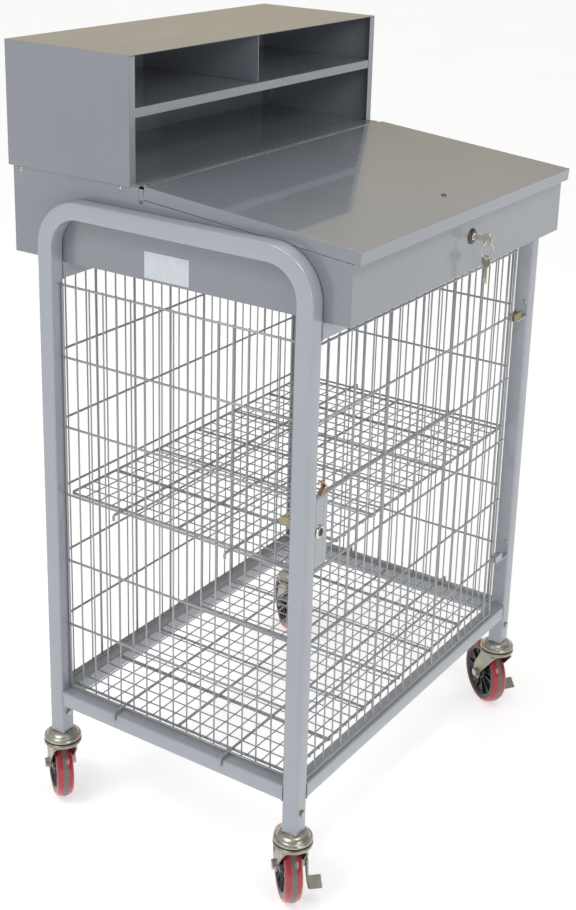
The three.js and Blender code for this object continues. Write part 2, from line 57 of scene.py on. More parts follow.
# ---- materials ----------------------------------------------------------------------
class Shader:
    """A Principled material built up from procedural layers in the object's own coordinates."""

    def __init__(self, name, **sockets):
        self.material = bpy.data.materials.new(name)
        self.material.use_nodes = True
        self.tree = self.material.node_tree
        self.surface = self.tree.nodes["Principled BSDF"]
        self.coords = self.tree.nodes.new("ShaderNodeTexCoord").outputs["Object"]
        for key, value in sockets.items():
            self.surface.inputs[key.replace("_", " ")].default_value = value
        self.height = None

    def node(self, kind, **values):
        made = self.tree.nodes.new(kind)
        for key, value in values.items():
            setattr(made, key, value)
        return made

    def link(self, a, b):
        self.tree.links.new(a, b)

    def noise(self, scale, detail=3.0, roughness=0.55, stretch=(1, 1, 1)):
        mapping = self.node("ShaderNodeMapping")
        mapping.inputs["Scale"].default_value = stretch
        self.link(self.coords, mapping.inputs["Vector"])
        made = self.node("ShaderNodeTexNoise")
        made.inputs["Scale"].default_value = scale
        made.inputs["Detail"].default_value = detail
        made.inputs["Roughness"].default_value = roughness
        self.link(mapping.outputs["Vector"], made.inputs["Vector"])
        return made.outputs["Fac"]

    def ramp(self, source, *stops):
        made = self.node("ShaderNodeValToRGB")
        self.link(source, made.inputs["Fac"])
        elements = made.color_ramp.elements
        while len(elements) < len(stops):
            elements.new(0.5)
        for element, (position, color) in zip(elements, stops):
            element.position = position
            element.color = (*color, 1) if isinstance(color, tuple) else (color, color, color, 1)
        return made.outputs["Color"]

    def mix(self, factor, a, b):
        made = self.node("ShaderNodeMix", data_type="RGBA")
        for value, index in ((factor, 0), (a, 6), (b, 7)):
            if isinstance(value, bpy.types.NodeSocket):
                self.link(value, made.inputs[index])
            else:
                made.inputs[index].default_value = value if index == 0 else (*value, 1)
        return made.outputs[2]

    def maths(self, operation, a, b=0.0):
        made = self.node("ShaderNodeMath", operation=operation)
        for value, socket in ((a, made.inputs[0]), (b, made.inputs[1])):
            if isinstance(value, bpy.types.NodeSocket):
                self.link(value, socket)
            else:
                socket.default_value = value
        return made.outputs[0]

    def color(self, source):
        self.link(source, self.surface.inputs["Base Color"])

    def roughness(self, source):
        self.link(source, self.surface.inputs["Roughness"])

    def bump(self, source, strength, distance):
        made = self.node("ShaderNodeBump")
        made.inputs["Strength"].default_value = strength
        made.inputs["Distance"].default_value = distance
        self.link(source, made.inputs["Height"])
        if self.height:
            self.link(self.height, made.inputs["Normal"])
        self.height = made.outputs["Normal"]
        self.link(self.height, self.surface.inputs["Normal"])


def enamel_paint(name, light, dark, gloss, peel=0.05):
    s = Shader(name, Coat_Weight=0.8, Coat_Roughness=0.035, Coat_IOR=1.55, Specular_IOR_Level=0.6)
    cloud = s.noise(3, 4, 0.6)
    s.color(s.mix(s.ramp(cloud, (0.3, 0.0), (0.72, 1.0)), dark, light))
    smudge = s.noise(11, 5, 0.6)
    s.roughness(s.ramp(smudge, (0.3, gloss), (0.75, gloss + 0.1)))
    s.bump(s.noise(300, 2, 0.4), peel, 0.0004)
    return s.material


def plated(name, light, dark, gloss, grain=900, tint_scale=28):
    s = Shader(name, Metallic=1.0)
    stain = s.noise(tint_scale, 5, 0.65)
    s.color(s.mix(s.ramp(stain, (0.35, 0.0), (0.68, 1.0)), dark, light))
    s.roughness(s.ramp(s.noise(60, 5, 0.7), (0.3, gloss), (0.75, gloss + 0.2)))
    s.bump(s.noise(grain, 3, 0.6), 0.12, 0.0002)
    return s.material


def moulded(name, light, dark, gloss, bump=0.1):
    s = Shader(name, Specular_IOR_Level=0.6)
    s.color(s.mix(s.ramp(s.noise(60, 5, 0.6), (0.35, 0.0), (0.7, 1.0)), dark, light))
    s.roughness(s.ramp(s.noise(90, 4, 0.6), (0.3, gloss), (0.75, gloss + 0.18)))
    s.bump(s.noise(1400, 2, 0.5), bump, 0.0002)
    return s.material


def tread_material():
    s = Shader("red_polyurethane", Coat_Weight=0.5, Coat_Roughness=0.12, Specular_IOR_Level=0.55)
    across = s.node("ShaderNodeSeparateXYZ")
    s.link(s.coords, across.inputs["Vector"])
    from_centre = s.maths("ABSOLUTE", across.outputs["Y"])
    ragged = s.maths("MULTIPLY", s.noise(220, 4, 0.7), 0.004)
    edge = s.maths("ADD", from_centre, ragged)
    dusty = s.ramp(s.maths("MULTIPLY", edge, 60), (0.34, 1.0), (0.46, 0.0))
    red = s.mix(s.ramp(s.noise(45, 4, 0.6), (0.3, 0.0), (0.7, 1.0)),
                (0.3, 0.006, 0.014), (0.43, 0.011, 0.024))
    dust = s.mix(s.noise(300, 4, 0.7), (0.12, 0.085, 0.075), (0.2, 0.165, 0.145))
    s.color(s.mix(dusty, red, dust))
    s.roughness(s.ramp(dusty, (0.0, 0.2), (1.0, 0.62)))
    s.bump(s.noise(700, 3, 0.6), 0.1, 0.0003)
    return s.material


ENAMEL = enamel_paint("blue_grey_enamel", (0.335, 0.352, 0.392), (0.30, 0.316, 0.352), 0.3, 0.03)
SHEET = enamel_paint("desk_enamel", (0.215, 0.229, 0.254), (0.19, 0.203, 0.226), 0.2, 0.02)
WIRE = enamel_paint("wire_enamel", (0.36, 0.366, 0.38), (0.25, 0.255, 0.265), 0.3, 0.05)
ZINC = plated("bright_zinc", (0.60, 0.58, 0.52), (0.40, 0.37, 0.29), 0.2)
FORK_ZINC = plated("fork_zinc", (0.44, 0.42, 0.35), (0.24, 0.22, 0.16), 0.26)
YELLOW_ZINC = plated("yellow_zinc", (0.42, 0.36, 0.19), (0.24, 0.2, 0.1), 0.28)
COPPER = plated("copper_strip", (0.62, 0.36, 0.22), (0.36, 0.2, 0.12), 0.24)
CHROME = plated("nickel_chrome", (0.82, 0.81, 0.79), (0.62, 0.6, 0.56), 0.1)
KEY_METAL = plated("key_nickel", (0.78, 0.74, 0.62), (0.56, 0.5, 0.36), 0.16)
# The locks' chrome gets a dark colour: a painted dark reflection of the dim surroundings it mirrors.
LOCK_PAINTED_REFLECTION = plated("lock_chrome_painted_dark_reflection", (0.16, 0.145, 0.11), (0.07, 0.062, 0.05), 0.22)
DARK_STEEL = plated("brake_steel", (0.2, 0.19, 0.17), (0.1, 0.095, 0.085), 0.34)
PAD_STEEL = plated("pad_steel", (0.46, 0.44, 0.37), (0.3, 0.28, 0.22), 0.38)
HUB_BLACK = moulded("black_nylon", (0.02, 0.021, 0.025), (0.008, 0.008, 0.01), 0.16)
PLATE_WHITE = moulded("blank_label", (0.6, 0.63, 0.66), (0.53, 0.56, 0.59), 0.3, 0.04)
RED_TREAD = tread_material()


# ---- mesh helpers -------------------------------------------------------------------
END_SIZE = 0.55  # a wire's end, as a part of its radius
END_LENGTH = 0.5  # the length over which the end narrows, as a part of the radius


class Shape:
    """Collects the vertices and faces of one piece."""

    def __init__(self):
        self.verts = []
        self.faces = []

    def ring(self, points):
        start = len(self.verts)
        self.verts.extend(Vector(p) for p in points)
        return list(range(start, len(self.verts)))

    def bridge(self, a, b):
        n = len(a)
        for i in range(n):
            j = (i + 1) % n
            self.faces.append((a[i], a[j], b[j], b[i]))

    def rings(self, loops, closed=False, capped=True):
        made = [self.ring(loop) for loop in loops]
        for a, b in zip(made, made[1:]):
            self.bridge(a, b)
        if closed:
            self.bridge(made[-1], made[0])
        elif capped:
            self.faces.append(tuple(reversed(made[0])))
            self.faces.append(tuple(made[-1]))
        return made

    def wire(self, path, radius, sides=8):
        """A round wire along a path, with softly rounded ends."""
        path = [Vector(p) for p in path]
        steps = [(b - a).normalized() for a, b in zip(path, path[1:])]
        tangents = [steps[0]] + [(a + b).normalized() for a, b in zip(steps, steps[1:])] + [steps[-1]]
        up = Vector((0, 0, 1)) if abs(steps[0].z) < 0.9 else Vector((1, 0, 0))
        side = steps[0].cross(up).normalized()
        loops = []
        for i, (point, tangent) in enumerate(zip(path, tangents)):
            side = (side - tangent * side.dot(tangent)).normalized()
            other = tangent.cross(side)
            stretch = 1.0
            if 0 < i < len(path) - 1:
                stretch = 1 / max(0.5, tangent.dot(steps[i]))
            bend = (steps[i] - steps[i - 1]) if 0 < i < len(path) - 1 else Vector((0, 0, 0))
            bend = bend.normalized() if bend.length > 1e-6 else bend
            section = []
            for k in range(sides):
                a = 2 * math.pi * k / sides
                v = side * math.cos(a) + other * math.sin(a)
                section.append(v + bend * (v.dot(bend) * (stretch - 1)))
            if i == 0:
                stations = ((radius * END_SIZE, 0), (radius, radius * END_LENGTH))
            elif i == len(path) - 1:
                stations = ((radius, -radius * END_LENGTH), (radius * END_SIZE, 0))
            else:
                stations = ((radius, 0),)
            for size, shift in stations:
                loops.append([point + tangent * shift + v * size for v in section])
        self.rings(loops)

    def lathe(self, profile, segments=48, place=None, closed=True):
        """A profile of (radius, height) points turned about Z. A closed profile makes a ring, and an open one
        starts and ends on the axis."""
        place = place or Matrix.Identity(4)
        loops = []
        for k in range(segments):
            a = 2 * math.pi * k / segments
            loops.append([place @ Vector((r * math.cos(a), r * math.sin(a), z)) for r, z in profile])
        made = [self.ring(loop) for loop in loops]
        n = len(profile)
        for k in range(segments):
            a, b = made[k], made[(k + 1) % segments]
            last = n if closed else n - 1
            for i in range(last):
                j = (i + 1) % n
                self.faces.append((a[i], b[i], b[j], a[j]))

    def prism(self, outline, low, high, place=None):
        """An outline in XY raised from low to high along Z."""
        place = place or Matrix.Identity(4)
        loops = [[place @ Vector((x, y, z)) for x, y in outline] for z in (low, high)]
        self.rings(loops)

    def block(self, low, high):
        outline = ((low[0], low[1]), (high[0], low[1]), (high[0], high[1]), (low[0], high[1]))
        self.prism(outline, low[2], high[2])


def soften(o, width, segments=2, angle=35):
    bevel = o.modifiers.new("rounded_edges", "BEVEL")
    bevel.width = width
    bevel.segments = segments
    bevel.limit_method = "ANGLE"
    bevel.angle_limit = math.radians(angle)
    bevel.miter_outer = "MITER_ARC"
    normals = o.modifiers.new("even_shading", "WEIGHTED_NORMAL")
    normals.keep_sharp = True
    return o


def piece(name, shape, material, body, stands_for=(), place=None, axes=None, edge=0.0, sharp=34):
    """Makes one object. place moves its vertices, and axes gives the object a coordinate frame of its own."""
    mesh = bpy.data.meshes.new(name)
    verts = [place @ v for v in shape.verts] if place else shape.verts
    mesh.from_pydata([tuple(v) for v in verts], [], shape.faces)
    bm = bmesh.new()
    bm.from_mesh(mesh)
    bmesh.ops.remove_doubles(bm, verts=bm.verts, dist=1e-6)
    bmesh.ops.recalc_face_normals(bm, faces=bm.faces)
    bm.to_mesh(mesh)
    bm.free()
    mesh.materials.append(material)
    mesh.shade_smooth()
    o = bpy.data.objects.new(name, mesh)
    bpy.context.scene.collection.objects.link(o)
    if axes:
        o.matrix_world = axes
    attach(o, body)
    if stands_for:
        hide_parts(*stands_for)
    if edge:
        soften(o, edge)
    else:
        mesh.set_sharp_from_angle(angle=math.radians(sharp))
    return o


def dress(node, material, edge, segments=2):
    """A CAD node keeps its mesh, and gets softly rounded edges and a material."""
    o = nodes[node]
    o.data.materials.clear()
    o.data.materials.append(material)
    o.data.shade_smooth()
    weld = o.modifiers.new("weld", "WELD")
    weld.merge_threshold = 1e-5
    flats = o.modifiers.new("flat_faces", "DECIMATE")
    flats.decimate_type = "DISSOLVE"
    flats.angle_limit = math.radians(0.6)
    soften(o, edge, segments, 30)


def rounded_square(width, radius, steps=4):
    """The outline of a square tube with rounded corners, centred on the origin."""
    h = width / 2 - radius
    points = []
    for k, (sx, sy) in enumerate(((1, 1), (-1, 1), (-1, -1), (1, -1))):
        for i in range(steps + 1):
            a = math.pi / 2 * (k + i / steps)
            points.append((sx * h + radius * math.cos(a), sy * h + radius * math.sin(a)))
    return points


def hollow_tube(shape, stations, width, wall, radius):
    """A square tube along stations of (point, across, up), open at both ends."""
    outer = rounded_square(width, radius)
    inner = rounded_square(width - 2 * wall, max(radius - wall, 0.0004))
    loops = []
    for p, across, up in stations:
        loops.append([p + across * a + up * b for a, b in outer])
    for p, across, up in reversed(stations):
        loops.append([p + across * a + up * b for a, b in inner])
    shape.rings(loops, closed=True)


X, Y, Z = Vector((1, 0, 0)), Vector((0, 1, 0)), Vector((0, 0, 1))
ALONG_Y = Matrix.Rotation(-math.pi / 2, 4, "X")  # turns +Z into +Y


def at(x, y, z):
    return Matrix.Translation((x, y, z))


# ---- end frames, rails and stretchers -----------------------------------------------
BEND_RADIUS = 82 * MM
CORNER = 3.2 * MM
WALL = 2 * MM


def bead(shape, low, high, axis, radius=1.3 * MM):
    """A weld bead round a square tube's end: a wavy closed loop in the plane across the axis."""
    grow = 0.4 * MM
    u, v = [a for a in range(3) if a != axis]
    centre = (Vector(low) + Vector(high)) / 2
    outline = rounded_square(high[u] - low[u] + 2 * grow, CORNER + grow, 3)
    dense = []
    for i, a in enumerate(outline):
        b = outline[(i + 1) % len(outline)]
        count = max(1, int(math.dist(a, b) / (3 * MM)))
        dense.extend((a[0] + (b[0] - a[0]) * k / count, a[1] + (b[1] - a[1]) * k / count)
                     for k in range(count))
    loops = []
    for i, (a, b) in enumerate(dense):
        p = centre.copy()
        p[axis] = low[axis]
        outward = Vector((0, 0, 0))
        outward[u], outward[v] = a, b
        p += outward
        outward.normalize()
        forward = Vector((0, 0, 0))
        forward[axis] = 1
        r = radius * (1 + 0.22 * math.sin(i * 1.9) + 0.1 * math.sin(i * 4.3))
        loop = []
        for k in range(6):
            t = 2 * math.pi * k / 6
            loop.append(p + outward * (r * math.cos(t)) + forward * (r * math.sin(t)))
        loops.append(loop)
    shape.rings(loops, closed=True)


for side in ("left", "right"):
    low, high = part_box(f"{side}_end_frame")
    width = high.x - low.x
    half = width / 2
    x = low.x + half
    mid_y = (low.y + high.y) / 2
    reach = (high.y - low.y) / 2 - half
    top = high.z - half
    radius = BEND_RADIUS - half
    stations = [(Vector((x, mid_y - reach, low.z)), X, -Y)]
    for k in range(15):
        a = math.pi - math.pi / 2 * k / 14
        out = Vector((0, math.cos(a), math.sin(a)))
        stations.append((Vector((x, mid_y - reach + radius, top - radius)) + out * radius, X, out))
    for k in range(15):
        a = math.pi / 2 - math.pi / 2 * k / 14
        out = Vector((0, math.cos(a), math.sin(a)))
        stations.append((Vector((x, mid_y + reach - radius, top - radius)) + out * radius, X, out))
    stations.append((Vector((x, mid_y + reach, low.z)), X, Y))
    shape = Shape()
    hollow_tube(shape, stations, width, WALL, CORNER)
    piece(f"{side}_end_tube", shape, ENAMEL, "frame", [f"{side}_end_frame"])

for name in ("bottom_rail_front", "bottom_rail_rear", "top_stretcher_front", "top_stretcher_rear",
             "bottom_rail_left", "bottom_rail_right"):
    low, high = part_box(name)
    length = high - low
    centre = (low + high) / 2
    shape = Shape()
    beads = Shape()
    if length.x > length.y:
        ends = [Vector((x, centre.y, centre.z)) for x in (low.x, high.x)]
        hollow_tube(shape, [(p, Y, Z) for p in ends], length.y, WALL, CORNER)
        for x in (low.x, high.x):
            bead(beads, (x, low.y, low.z), (x, high.y, high.z), 0)
    else:
        ends = [Vector((centre.x, y, centre.z)) for y in (low.y, high.y)]
        hollow_tube(shape, [(p, X, Z) for p in ends], length.x, WALL, CORNER)
        for y in (low.y, high.y):
            bead(beads, (low.x, y, low.z), (high.x, y, high.z), 1)
    piece(f"{name}_tube", shape, ENAMEL, "frame", [name])
    piece(f"{name}_welds", beads, ENAMEL, "frame")


# ---- sheet metal: desk, lid, riser --------------------------------------------------
for name in ("desk_tray", "rear_deck", "desk_lid"):
    dress(name, SHEET, 0.95 * MM, 3)
for name in ("riser_shell", "riser_back", "riser_shelf", "riser_divider"):
    dress(name, SHEET, 0.6 * MM, 2)
dress("lid_hinge_fixed_leaf", ZINC, 0.3 * MM)
dress("lid_hinge_lid_leaf", ZINC, 0.3 * MM)
dress("lid_hinge_pin", ZINC, 0.2 * MM)

riser_low, riser_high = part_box("riser_shell")
shelf_low, shelf_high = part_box("riser_shelf")
FLANGE = 13 * MM
SKIN = 1.2 * MM
shape = Shape()
front = riser_low.y + 0.2 * MM
for s, edge in ((1, riser_low.x), (-1, riser_high.x)):
    inner = edge + s * 1.7 * MM
    a, b = sorted((inner, inner + s * FLANGE))
    shape.block((a, front, riser_low.z + 0.5 * MM), (b, front + SKIN, riser_high.z - 1.8 * MM))
piece("riser_front_flanges", shape, SHEET, "frame", edge=0.3 * MM)


pin_low, pin_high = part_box("lid_hinge_pin")
pin_y, pin_z = (pin_low.y + pin_high.y) / 2, (pin_low.z + pin_high.z) / 2
ears = Shape()
tray_low, tray_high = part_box("desk_tray")
for x0, x1 in ((tray_low.x, tray_low.x + 2 * MM), (tray_high.x - 2 * MM, tray_high.x)):
    ears.block((x0, pin_y - 3 * MM, pin_z - 26 * MM), (x1, pin_y + 5.8 * MM, pin_z - 2.4 * MM))
piece("desk_side_ears", ears, SHEET, "frame", edge=0.4 * MM)


def screw_head(shape, place, radius, height, recess=True):
    """A domed screw head with a cross recess, standing on the placed XY plane."""
    profile = [(radius, 0.0), (radius, height * 0.3), (radius * 0.86, height * 0.68),
               (radius * 0.55, height * 0.92)]
    profile += [(radius * 0.3, height)]
    profile += [(radius * 0.24, height * 0.55), (1e-5, height * 0.5)] if recess else [(1e-5, height * 1.02)]
    shape.lathe(profile, 24, place, closed=False)


def hexagon(radius):
    return [(radius * math.cos(math.pi / 3 * k), radius * math.sin(math.pi / 3 * k)) for k in range(6)]


def hex_head(shape, place, across, height):
    """A hexagon head with a chamfered crown and a washer face."""
    r = across / math.sqrt(3)
    shape.lathe([(1e-5, 0), (across * 0.62, 0), (across * 0.62, 0.9 * MM), (1e-5, 0.9 * MM)],
                28, place, closed=False)
    loops = [[place @ Vector((x * s, y * s, z)) for x, y in hexagon(r)]
             for s, z in ((1, 0.9 * MM), (1, height * 0.86), (0.88, height), (0.3, height * 1.01))]
    shape.rings(loops)


LID_FLANGE = 21 * MM
LID_SCREW_BACK = 64 * MM
lid_low, lid_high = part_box("desk_lid")
lid_slope = math.atan2(lid_high.z - lid_low.z - LID_FLANGE, lid_high.y - lid_low.y)
knob_y = lid_low.y + LID_SCREW_BACK
knob_z = lid_high.z - (lid_high.y - knob_y) * math.tan(lid_slope)
knob = Shape()
tilt = at((lid_low.x + lid_high.x) / 2 + 3 * MM, knob_y, knob_z) @ Matrix.Rotation(lid_slope, 4, "X")
screw_head(knob, tilt, 4.2 * MM, 2.6 * MM)
piece("lid_screw", knob, DARK_STEEL, "lid")

SIDE_SCREW_BACK = (20 * MM, 225 * MM)  # from the riser's front edge
SIDE_SCREW_DROP = 5 * MM
side_screws = Shape()
for s, x in ((-1, tray_low.x), (1, tray_high.x)):
    for back in SIDE_SCREW_BACK:
        place = (at(x, riser_low.y + back, riser_low.z - SIDE_SCREW_DROP)
                 @ Matrix.Rotation(s * math.pi / 2, 4, "Y"))
        screw_head(side_screws, place, 3.4 * MM, 1.4 * MM)
piece("riser_side_screws", side_screws, ZINC, "frame")

label = Shape()
label_width, label_height = 86 * MM, 43 * MM
outline = [(x * (label_width / label_height), y) for x, y in rounded_square(label_height, 0.1 * MM, 1)]
place = at(tray_low.x, (tray_low.y + tray_high.y) / 2 + 9.5 * MM, tray_low.z + 26 * MM)
place = place @ Matrix(((0, 0, -1, 0), (-1, 0, 0, 0), (0, 1, 0, 0), (0, 0, 0, 1)))
label.prism(outline, 0.0, 0.5 * MM, place)
piece("blank_label", label, PLATE_WHITE, "frame", edge=0.15 * MM)

BOLT_HEIGHT = 37 * MM  # above the foot of each leg
bolts = Shape()
for side in ("left", "right"):
    low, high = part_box(f"{side}_end_frame")
    x = (low.x + high.x) / 2
    half = (high.x - low.x) / 2
    z = low.z + BOLT_HEIGHT
    for y0, y1 in ((low.y, low.y + 2 * half), (high.y - 2 * half, high.y)):
        hex_head(bolts, at(x, y0, z) @ Matrix.Rotation(math.pi / 2, 4, "X"), 9 * MM, 4.2 * MM)
        hex_head(bolts, at(x, y1, z) @ ALONG_Y, 9 * MM, 5.2 * MM)
piece("leg_cross_bolts", bolts, ZINC, "frame")


# ---- desk lock and keys -------------------------------------------------------------
LOCK_BORE = 6.5 * MM
low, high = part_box("desk_lock_body")
lock_x, lock_z = (low.x + high.x) / 2, (low.z + high.z) / 2
flange = (high.x - low.x) / 2
depth = high.y - low.y
stem = 9.6 * MM
barrel = Shape()
profile = [(LOCK_BORE, 0.6 * MM), (LOCK_BORE + 1.2 * MM, 0.0), (flange * 0.72, 0.0), (flange * 0.9, 0.9 * MM),
           (flange, 2.2 * MM), (flange, 3.2 * MM), (stem, 3.3 * MM), (stem, depth), (LOCK_BORE, depth)]
barrel.lathe(profile, 56, at(lock_x, low.y, lock_z) @ ALONG_Y)
# The barrel's dark colour is a painted dark reflection on chrome.
piece("desk_lock_barrel", barrel, LOCK_PAINTED_REFLECTION, body_of["desk_lock_body"], ["desk_lock_body"])
dress("desk_lock_plug", CHROME, 0.3 * MM)
dress("desk_lock_cam", ZINC, 0.4 * MM)
dress("desk_key", KEY_METAL, 0.45 * MM)
dress("spare_key", KEY_METAL, 0.45 * MM)

low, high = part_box("key_ring")
middle = (low + high) / 2
ring_radius = (high.z - low.z) / 2 - 0.9 * MM
ring = Shape()
wire_radius = 0.8 * MM
profile = [(ring_radius + wire_radius * math.cos(2 * math.pi * k / 10),
            wire_radius * math.sin(2 * math.pi * k / 10)) for k in range(10)]
ring.lathe(profile, 64, at(*middle) @ Matrix.Rotation(-math.pi / 7, 4, "Z") @ ALONG_Y)
piece("split_ring", ring, KEY_METAL, body_of["key_ring"], ["key_ring"])


# ---- wire cage and shelves ----------------------------------------------------------
LEVELS = 7
UPRIGHT = 1.35 * MM
HEAVY = 2.2 * MM
LEVEL_WIRE = 2.1 * MM


def spread(low, high, pitch):
    count = max(1, round((high - low) / pitch))
    return [low + (high - low) * k / count for k in range(count + 1)]


def wire_panel(name, across, plane, outside, low, high, bottom, top, pitch, body, stands_for, heavy_every=4):
    """An upright panel of round wires. Its level wires run along the axis across, on the outside."""
    def point(u, depth, z):
        return (u, plane + depth, z) if across == 0 else (plane + depth, u, z)
    shape = Shape()
    uprights = spread(low + HEAVY, high - HEAVY, pitch)
    for i, u in enumerate(uprights):
        radius = HEAVY if i % heavy_every == 0 or i == len(uprights) - 1 else UPRIGHT
        shape.wire([point(u, 0, bottom), point(u, 0, top)], radius)
    for z in spread(bottom + 2.5 * MM, top - 2.5 * MM, (top - bottom) / (LEVELS - 1)):
        shape.wire([point(low, outside * 1.3 * MM, z), point(high, outside * 1.3 * MM, z)], LEVEL_WIRE)
    return piece(name, shape, WIRE, body, stands_for, sharp=60)


for side, outside in (("left", -1), ("right", 1)):
    low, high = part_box(f"cage_{side}_panel")
    wire_panel(f"{side}_wire_panel", 1, (low.x + high.x) / 2, outside, low.y, high.y, low.z, high.z,
               28 * MM, "frame", [f"cage_{side}_panel"], heavy_every=20)
low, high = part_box("cage_rear_panel")
wire_panel("rear_wire_panel", 0, (low.y + high.y) / 2, 1, low.x, high.x, low.z, high.z, 25.4 * MM, "frame",
           ["cage_rear_panel"])
low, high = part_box("door_wire_panel")
wire_panel("door_wires", 0, (low.y + high.y) / 2, -1, low.x, high.x, low.z, high.z, 25.4 * MM,
           body_of["door_wire_panel"], ["door_wire_panel"])


SHELF_PITCH = 28 * MM
SHELF_ROD_PITCH = 124 * MM
HOOK_OFFSET = 112 * MM  # of each hooked rod from the shelf's middle


def shelf(name, node, hook_drop, hook_reach):
    """A mesh of fine wires on heavy rods. Two of the long rods end in hooks that drop over the side rails."""
    low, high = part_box(node)
    z = (low.z + high.z) / 2
    fine = 1.2 * MM
    rod = 2.4 * MM
    mesh_wires = Shape()
    for y in spread(low.y + rod, high.y - rod, SHELF_PITCH):
        mesh_wires.wire([(low.x, y, z + 1.1 * MM), (high.x, y, z + 1.1 * MM)], fine, 7)
    for x in spread(low.x + rod, high.x - rod, SHELF_PITCH):
        mesh_wires.wire([(x, low.y, z - 1.1 * MM), (x, high.y, z - 1.1 * MM)], fine, 7)
    piece(f"{name}_mesh", mesh_wires, WIRE, "frame", [node], sharp=60)
    rods = Shape()
    for x in spread(low.x + rod, high.x - rod, SHELF_ROD_PITCH):
        rods.wire([(x, low.y, z - 1.2 * MM), (x, high.y, z - 1.2 * MM)], rod)
    middle = (low.y + high.y) / 2
    hooked = (middle - HOOK_OFFSET, middle + HOOK_OFFSET)
    for y in (low.y + rod, hooked[0], middle, hooked[1], high.y - rod):
        start, end = low.x, high.x
        level = z + 2.4 * MM
        if y in hooked:
            path = [(start - hook_reach, y, level - hook_drop), (start - hook_reach, y, level - 3 * MM),
                    (start - hook_reach + 0.9 * MM, y, level - 0.9 * MM),
                    (start - hook_reach + 3 * MM, y, level),
                    (end + hook_reach - 3 * MM, y, level), (end + hook_reach - 0.9 * MM, y, level - 0.9 * MM),
                    (end + hook_reach, y, level - 3 * MM), (end + hook_reach, y, level - hook_drop)]
            rods.wire(path, rod)
        else:
            rods.wire([(start, y, level), (end, y, level)], rod)
    piece(f"{name}_rods", rods, WIRE, "frame", sharp=60)


shelf("bottom_shelf", "bottom_wire_shelf", 16 * MM, 34.4 * MM)
shelf("middle_shelf", "middle_wire_shelf", 10 * MM, 29 * MM)

# ---- door hardware ------------------------------------------------------------------
dress("door_latch_plate", ENAMEL, 0.5 * MM)
low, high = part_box("door_latch_body")
latch_x, latch_z = (low.x + high.x) / 2, (low.z + high.z) / 2
flange = (high.x - low.x) / 2
depth = high.y - low.y
stem = 9.3 * MM
barrel = Shape()
profile = [(LOCK_BORE, 0.5 * MM), (LOCK_BORE + 1.0 * MM, 0.0), (flange * 0.75, 0.0),
           (flange * 0.92, 0.8 * MM), (flange, 2.0 * MM), (flange, 3.2 * MM), (stem, 3.3 * MM),
           (stem, depth), (LOCK_BORE, depth)]
barrel.lathe(profile, 48, at(latch_x, low.y, latch_z) @ ALONG_Y)
piece("door_lock_barrel", barrel, CHROME, body_of["door_latch_body"], ["door_latch_body"])
dress("door_latch_cam", YELLOW_ZINC, 0.5 * MM)
dress("door_latch_keeper", YELLOW_ZINC, 0.6 * MM)

# The lock's turning face, with its upright key slot, coloured with the locks' painted dark reflection.
cam_low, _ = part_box("door_latch_cam")
disc_low = low.y - 1.2 * MM
disc_depth = cam_low.y - disc_low - 0.1 * MM
slot_width, slot_height = 1.1 * MM, 4 * MM
lock_face = Shape()
lock_face.lathe([(1e-5, disc_depth), (1e-5, 0.2 * MM), (5.2 * MM, 0.2 * MM), (5.8 * MM, 0.4 * MM),
                 (5.8 * MM, disc_depth)], 32,
                at(latch_x, disc_low, latch_z) @ ALONG_Y)
lock_face.block((latch_x - slot_width, disc_low - 0.1 * MM, latch_z - slot_height),
                (latch_x + slot_width, disc_low + 0.5 * MM, latch_z + slot_height))
piece("door_lock_face", lock_face, LOCK_PAINTED_REFLECTION, body_of["door_latch_cam"])

# A bent strip clipped to the door above its latch plate.
_, plate_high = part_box("door_latch_plate")
wires_low, wires_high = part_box("door_wire_panel")
strip = 2.2 * MM
reach, rise = 17 * MM, 11 * MM
clip_x, clip_z = plate_high.x - 24 * MM, plate_high.z + 6 * MM
middle_z = clip_z + rise
chevron = [(clip_x, clip_z), (clip_x + strip * 1.5, clip_z), (clip_x + reach, middle_z),
           (clip_x + strip * 1.5, middle_z + rise), (clip_x, middle_z + rise),
           (clip_x + reach - strip * 2, middle_z)]
clip = Shape()
clip.prism([(x, -z) for x, z in chevron], wires_low.y - 1.2 * MM, wires_high.y + 1.2 * MM, ALONG_Y)
piece("door_wire_clip", clip, COPPER, body_of["door_wire_panel"], edge=0.3 * MM)

# The keeper's rounded tab stands behind the left front leg.
low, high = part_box("door_latch_keeper")
tab_radius = 13 * MM
tab_y, tab_z = high.y + tab_radius - 1 * MM, (low.z + high.z) / 2 + 2 * MM
outline = [(tab_radius * math.cos(math.pi * k / 12), tab_radius * 0.8 * math.sin(math.pi * k / 12))
           for k in range(13)]
tab = Shape()
tab.prism(outline, low.x + 1 * MM, low.x + 3.4 * MM,
          at(0, tab_y, tab_z) @ Matrix(((0, 0, 1, 0), (1, 0, 0, 0), (0, 1, 0, 0), (0, 0, 0, 1))))
piece("keeper_tab", tab, YELLOW_ZINC, body_of["door_latch_keeper"], edge=0.4 * MM)
for level, block_finish in (("lower", ENAMEL), ("upper", YELLOW_ZINC)):
    dress(f"door_hinge_arm_{level}", ENAMEL, 0.8 * MM)
    dress(f"door_hinge_block_{level}", block_finish, 0.9 * MM)

# Each hinge arm is held to the inner face of the leg by one bolt.
hinge_bolts = Shape()
leg_low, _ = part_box("right_end_frame")
for level in ("lower", "upper"):
    low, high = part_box(f"door_hinge_arm_{level}")
    place = at(leg_low.x, (low.y + high.y) / 2, high.z + 9 * MM) @ Matrix.Rotation(-math.pi / 2, 4, "Y")
    screw_head(hinge_bolts, place, 4 * MM, 2.6 * MM)
piece("hinge_arm_bolts", hinge_bolts, ZINC, "frame")


# ---- casters ------------------------------------------------------------------------
WHEEL_HALF = 16 * MM
LEG_INSIDE = WHEEL_HALF + 2.4 * MM
LEG_SHEET = 3 * MM


